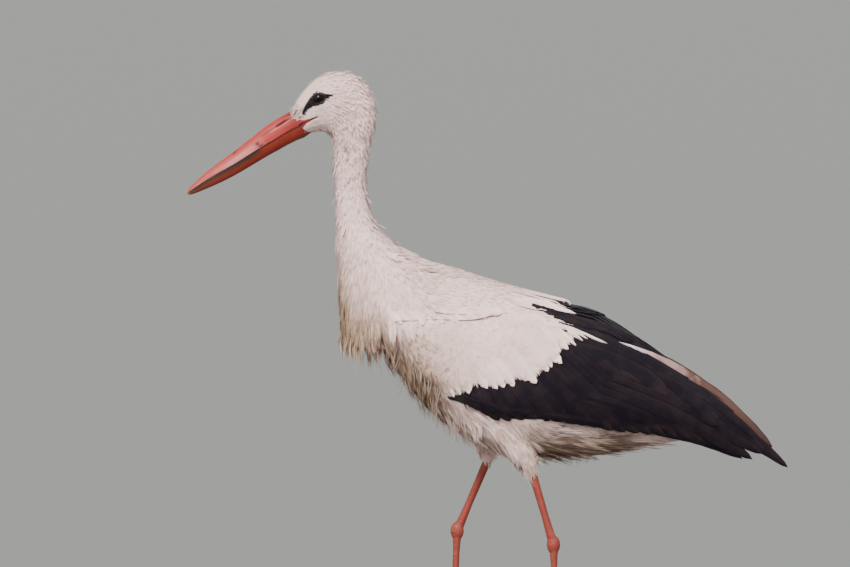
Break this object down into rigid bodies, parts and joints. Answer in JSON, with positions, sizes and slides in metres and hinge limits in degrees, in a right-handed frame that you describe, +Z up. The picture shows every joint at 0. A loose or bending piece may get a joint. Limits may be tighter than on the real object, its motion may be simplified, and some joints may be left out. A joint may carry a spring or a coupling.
{
  "type": "white stork",
  "caption": "Life-size still model of a white stork in mid-stride, neck up and wings folded, standing on its own two feet.",
  "frame": {"origin": "on the floor under the middle of the bird's bounding box", "axes": "-X is the way the bird faces, -Y its own left side, +Z up"},
  "size_m": [0.7852, 0.1886, 0.8348],
  "materials": {
    "plumage_white": "soft white plumage with a warm grey cast, matt",
    "plumage_black": "black flight feathers with a faint purple-brown gloss",
    "bill_red": "smooth orange-red horn, satin",
    "leg_red": "scaly orange-red skin",
    "claw_horn": "dark brown horn",
    "eye_dark": "wet dark brown eye"
  },
  "bodies": {
    "root": {"head": "plumage_white", "bill_upper": "bill_red", "bill_lower": "bill_red", "eye_left": "eye_dark", "eye_right": "eye_dark", "neck_upper": "plumage_white", "neck_lower": "plumage_white", "breast_plumes": "plumage_white", "trunk": "plumage_white", "tail": "plumage_white", "wing_left_coverts": "plumage_white", "wing_left_secondaries": "plumage_black", "wing_left_primaries": "plumage_black", "wing_right_coverts": "plumage_white", "wing_right_secondaries": "plumage_black", "wing_right_primaries": "plumage_black", "thigh_left": "plumage_white", "shin_left": "leg_red", "heel_left": "leg_red", "tarsus_left": "leg_red", "foot_left": "leg_red", "toe_left_middle": "leg_red", "toe_left_inner": "leg_red", "toe_left_outer": "leg_red", "toe_left_hind": "leg_red", "claw_left_middle": "claw_horn", "claw_left_inner": "claw_horn", "claw_left_outer": "claw_horn", "claw_left_hind": "claw_horn", "thigh_right": "plumage_white", "shin_right": "leg_red", "heel_right": "leg_red", "tarsus_right": "leg_red", "foot_right": "leg_red", "toe_right_middle": "leg_red", "toe_right_inner": "leg_red", "toe_right_outer": "leg_red", "toe_right_hind": "leg_red", "claw_right_middle": "claw_horn", "claw_right_inner": "claw_horn", "claw_right_outer": "claw_horn", "claw_right_hind": "claw_horn"}
  },
  "joints": []
}
